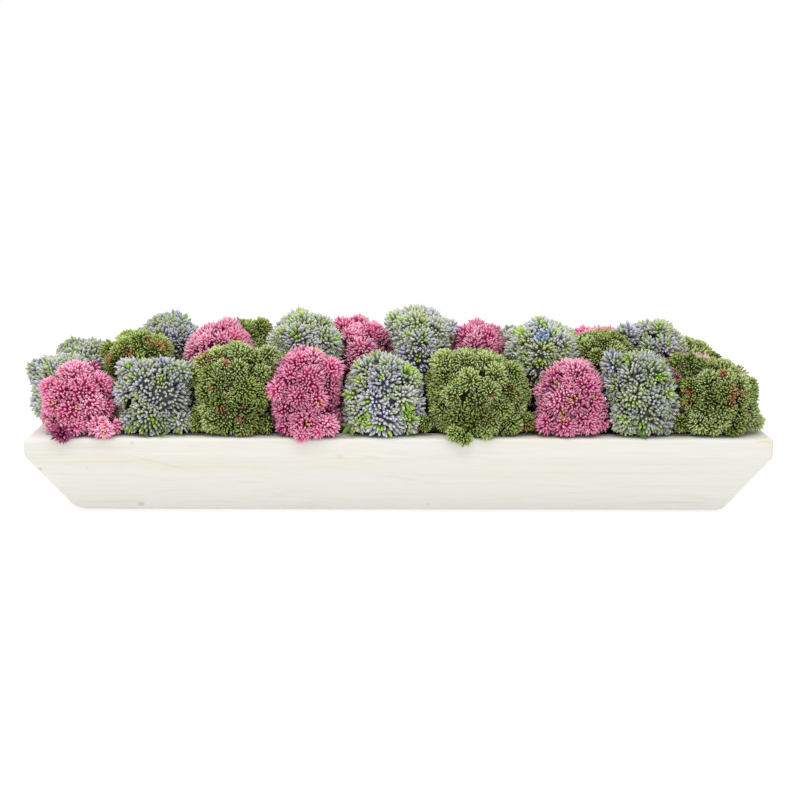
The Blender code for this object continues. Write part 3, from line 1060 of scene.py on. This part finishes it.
def streak_mask(tree, position, start, end, half_thickness):
    """1 along a line on the front between two points, fading to both sides and its ends."""
    along = end - start
    inputs = {"Vector": position, "Location": (start + end) / 2.0,
              "Rotation": (0.0, -math.atan2(along.z, along.x), 0.0),
              "Scale": (along.length / 2.0, STREAK_REACH, half_thickness)}
    mapping = add_node(tree, "Mapping", inputs, vector_type="TEXTURE")
    return fall(tree, mapping, None, 0.1, 1.5, interpolation_type="SMOOTHSTEP")


def wood_material():
    """Pale whitewash over pine: faint wandering grain, knots, and bare wood at one corner."""
    material, tree, shader = principled("whitewashed_wood", 0.62, 0.25)
    position = object_place(tree)
    wander = stretched_noise(tree, position, (3.4, 4.0, 7.0), 2.0)
    lift = math_node(tree, "MULTIPLY", math_node(tree, "SUBTRACT", wander, 0.5), 0.040)
    combine = add_node(tree, "CombineXYZ", {"Y": lift, "Z": lift})
    grain_place = add_node(tree, "VectorMath", {0: position, 1: combine.outputs[0]},
                           operation="ADD").outputs[0]
    broad = stretched_noise(tree, grain_place, (1.6, 40.0, 55.0), 2.0)
    fine = stretched_noise(tree, grain_place, (5.0, 230.0, 300.0), 3.0, 0.6)
    brush = stretched_noise(tree, position, (40.0, 420.0, 520.0), 2.0, 0.6)
    wash = tints(tree, broad, (0.28, WASH_WARM), (0.46, WASH), (0.62, WASH), (0.78, WASH_COOL))
    lines = tints(tree, fine, (0.30, (246, 243, 232)), (0.50, (253, 252, 248)),
                  (0.75, (255, 255, 255)))
    colour = mix_colour(tree, "MULTIPLY", 0.6, wash, lines)
    strokes = greys(tree, brush, (0.3, 0.965), (0.6, 1.0))
    colour = mix_colour(tree, "MULTIPLY", 0.6, colour, strokes)
    grain = greys(tree, fine, (0.35, 1.0), (0.6, 0.35))
    for start_x, start_y, end_x, end_y, half_thickness, strength in STREAKS:
        mask = streak_mask(tree, grain_place, on_trough(start_x, start_y),
                           on_trough(end_x, end_y), half_thickness * MM)
        mask = math_node(tree, "MULTIPLY", mask, grain)
        mask = math_node(tree, "MULTIPLY", mask, strength * STREAK_STRENGTH)
        colour = mix_colour(tree, "MULTIPLY", mask, colour, linear(OCHRE))
    ragged_noise = stretched_noise(tree, position, (260.0, 260.0, 260.0), 3.0)
    ragged = math_node(tree, "MULTIPLY", math_node(tree, "SUBTRACT", ragged_noise, 0.5), 1.3)
    marks = []
    for x, y, radius, strength in KNOTS:
        size = (radius * MM * 1.4, radius * MM, radius * MM)
        marks.append((on_trough(x, y), size, 0.7, strength, linear(KNOT)))
    corner = Vector((HALF_LENGTH, -HALF_DEPTH, RIM))
    bare = tints(tree, fine, (0.3, (214, 180, 128)), (0.6, (230, 208, 164)))
    marks += [
        (corner + Vector((-0.009, 0.0005, -0.0024)), (0.0085, 0.006, 0.0018), 0.5, 0.6, bare),
        (corner + Vector((-0.0010, 0.001, -0.009)), (0.0020, 0.004, 0.0070), 0.5, 0.3, bare),
    ]
    for centre, size, softness, strength, mark in marks:
        mask = patch_mask(tree, position, centre, size, softness, ragged)
        amount = math_node(tree, "MULTIPLY", mask, strength)
        colour = mix_colour(tree, "MIX", amount, colour, mark)
    feed(tree, shader.inputs["Base Color"], colour)
    roughness = add_node(tree, "MapRange", {"Value": fine, "To Min": 0.55, "To Max": 0.80})
    feed(tree, shader.inputs["Roughness"], roughness.outputs["Result"])
    relief = math_node(tree, "ADD", math_node(tree, "MULTIPLY", fine, 0.7), brush)
    add_bump(tree, shader, relief, 0.18, 0.0005)
    return material


MOSS_STEPS_X = 230
MOSS_STEPS_Y = 62


def build_moss():
    """A bumpy bed of moss that fills the hollow up to just under the rim."""
    low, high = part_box("moss_bed")
    work = bmesh.new()
    grid = []
    for i in range(MOSS_STEPS_X + 1):
        column = []
        for j in range(MOSS_STEPS_Y + 1):
            x = low.x + (high.x - low.x) * i / MOSS_STEPS_X
            y = low.y + (high.y - low.y) * j / MOSS_STEPS_Y
            point = Vector((x, y, 0.0))
            lump = noise.noise(point * 55.0) * 0.0028
            tuft = abs(noise.noise(point * 210.0)) * 0.0030
            fringe = noise.noise(point * 700.0) * 0.0008
            z = high.z + lump + tuft + fringe
            column.append(work.verts.new((x, y, z)))
        grid.append(column)
    for left, right in zip(grid, grid[1:]):
        for j in range(MOSS_STEPS_Y):
            work.faces.new((left[j], right[j], right[j + 1], left[j + 1]))
    border = [edge for edge in work.edges if edge.is_boundary]
    skirt = bmesh.ops.extrude_edge_only(work, edges=border)
    for part in skirt["geom"]:
        if isinstance(part, bmesh.types.BMVert):
            part.co.z = low.z
    rim = [part for part in skirt["geom"] if isinstance(part, bmesh.types.BMEdge)]
    rim = [edge for edge in rim if edge.is_boundary]
    bmesh.ops.edgeloop_fill(work, edges=rim)
    mesh = finish_mesh(work, "moss", moss_material())
    make_piece("moss", mesh, ("moss_bed",))


def moss_material():
    material, tree, shader = principled("moss", 0.9, 0.2)
    position = object_place(tree)
    coarse = stretched_noise(tree, position, (60.0, 60.0, 60.0), 4.0, 0.6)
    fine = stretched_noise(tree, position, (900.0, 900.0, 900.0), 3.0, 0.6)
    colour = tints(tree, coarse, (0.3, (52, 62, 22)), (0.5, (88, 104, 40)),
                   (0.7, (130, 134, 62)))
    speckle = greys(tree, fine, (0.35, 0.45), (0.6, 1.0))
    colour = mix_colour(tree, "MULTIPLY", 0.8, colour, speckle)
    feed(tree, shader.inputs["Base Color"], colour)
    add_bump(tree, shader, fine, 0.8, 0.002)
    return material


# Smooth leaves at the foot of the heads: x and y of the root and of the tip in the
# photograph, and the width in millimetres. They stand just behind the rim's front edge.
RIM_LEAVES = (
    (352, 424, 342, 434, 5.5), (347, 427, 354, 435, 3.6), (169, 431, 161, 436, 2.8),
    (141, 431, 149, 436, 3.2), (637, 430, 646, 438, 4.6), (646, 430, 641, 437, 3.2),
)
LEAF_STEPS = 8
LEAF_DEPTH = 0.006    # behind the front edge
LEAF_FOLD = 0.25      # in half-widths
LEAF_THICKNESS = 0.0005
MIRRORED_AT = 0.0105  # the back rim's leaves are the front's, turned round this point


def build_leaves():
    """The leaves of the front rim, and as many along the back rim."""
    work = bmesh.new()
    for x0, y0, x1, y1, width in RIM_LEAVES:
        ends = []
        for ray in (pixel_ray(x0, y0), pixel_ray(x1, y1)):
            reach = (LEAF_DEPTH - HALF_DEPTH - CAMERA_PLACE.y) / ray.y
            ends.append(CAMERA_PLACE + ray * reach)
        root, along = ends[0], ends[1] - ends[0]
        across = Vector((-along.z, 0.0, along.x)).normalized()
        for back in (False, True):
            rings = []
            for step in range(LEAF_STEPS + 1):
                share = step / LEAF_STEPS
                half = width * MM / 2.0 * (0.12 + 0.88 * math.sin(math.pi * share**0.8))
                middle = root + along * share
                middle.y -= LEAF_DEPTH * share * share
                crease = Vector((0.0, LEAF_FOLD * half, 0.0))
                ring = [middle - across * half - crease, middle + crease,
                        middle + across * half - crease,
                        middle + crease + Vector((0.0, LEAF_THICKNESS, 0.0))]
                if back:
                    ring = [Vector((2.0 * MIRRORED_AT - p.x, -p.y, p.z)) for p in ring]
                rings.append([work.verts.new(point) for point in ring])
            skin_rings(work, rings)
    mesh = finish_mesh(work, "rim_leaves", leaf_material())
    make_piece("rim_leaves", mesh)


def plain_material(name, roughness, scale, detail, grain, stops):
    """A material whose colour only follows one noise."""
    material, tree, shader = principled(name, roughness)
    tone = stretched_noise(tree, object_place(tree), scale, detail, grain)
    feed(tree, shader.inputs["Base Color"], tints(tree, tone, *stops))
    return material


def leaf_material():
    return plain_material("leaf", 0.42, (70.0, 70.0, 70.0), 2.0, 0.5,
                          ((0.35, (60, 92, 30)), (0.50, (86, 120, 44)), (0.65, (114, 146, 66))))


def paint_hidden_nodes():
    """The foam and the stems keep their CAD shapes and get finished materials."""
    foam = plain_material("green_foam", 0.95, (1400.0, 1400.0, 1400.0), 3.0, 0.7,
                          ((0.35, (28, 70, 40)), (0.6, (62, 118, 70))))
    stem = plain_material("stem_green", 0.55, (900.0, 900.0, 60.0), 3.0, 0.5,
                          ((0.35, (70, 88, 34)), (0.65, (122, 140, 66))))
    for name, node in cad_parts.items():
        if name == "foam_block" or name.startswith("stem_"):
            node.data.materials.clear()
            node.data.materials.append(foam if name == "foam_block" else stem)


FLOOR_SIZE = 12.0
FLOOR_DROP = 0.0004
FLOOR_SHADE = (0.54, 0.54, 0.54, 1.0)
FLOOR_GLOW = 0.54
WHITE = (1.0, 1.0, 1.0, 1.0)
LAMP_PLACE = (-0.25, -0.45, 1.6)
LAMP_AIM = Vector((0.0, 0.0, 0.1))
LAMP_SIZE = (1.8, 1.0)
LAMP_POWER = 13.0


def build_studio():
    """A white floor, an even white surround and one large soft light."""
    mesh = bpy.data.meshes.new("studio_floor")
    half = FLOOR_SIZE / 2.0
    sides = ((-1, -1), (1, -1), (1, 1), (-1, 1))
    mesh.from_pydata([(x * half, y * half, -FLOOR_DROP) for x, y in sides], [], [(0, 1, 2, 3)])
    floor_material, _, shader = principled("studio_floor", 0.9, 0.1)
    shader.inputs["Base Color"].default_value = FLOOR_SHADE
    shader.inputs["Emission Color"].default_value = WHITE
    shader.inputs["Emission Strength"].default_value = FLOOR_GLOW
    mesh.materials.append(floor_material)
    floor = add_object("studio_floor", mesh)

    world = bpy.data.worlds.new("studio")
    world.use_nodes = True
    background = world.node_tree.nodes["Background"]
    background.inputs["Color"].default_value = WHITE
    background.inputs["Strength"].default_value = 1.0
    bpy.context.scene.world = world

    lamp = bpy.data.lights.new("softbox", "AREA")
    lamp.shape = "RECTANGLE"
    lamp.size, lamp.size_y = LAMP_SIZE
    lamp.energy = LAMP_POWER
    softbox = add_object("softbox", lamp)
    softbox.location = LAMP_PLACE
    aim = LAMP_AIM - softbox.location
    softbox.rotation_euler = aim.to_track_quat("-Z", "Y").to_euler()

    bpy.context.scene.view_settings.view_transform = "Standard"


make_camera()
build_studio()
build_trough()
build_moss()
build_heads()
build_leaves()
paint_hidden_nodes()
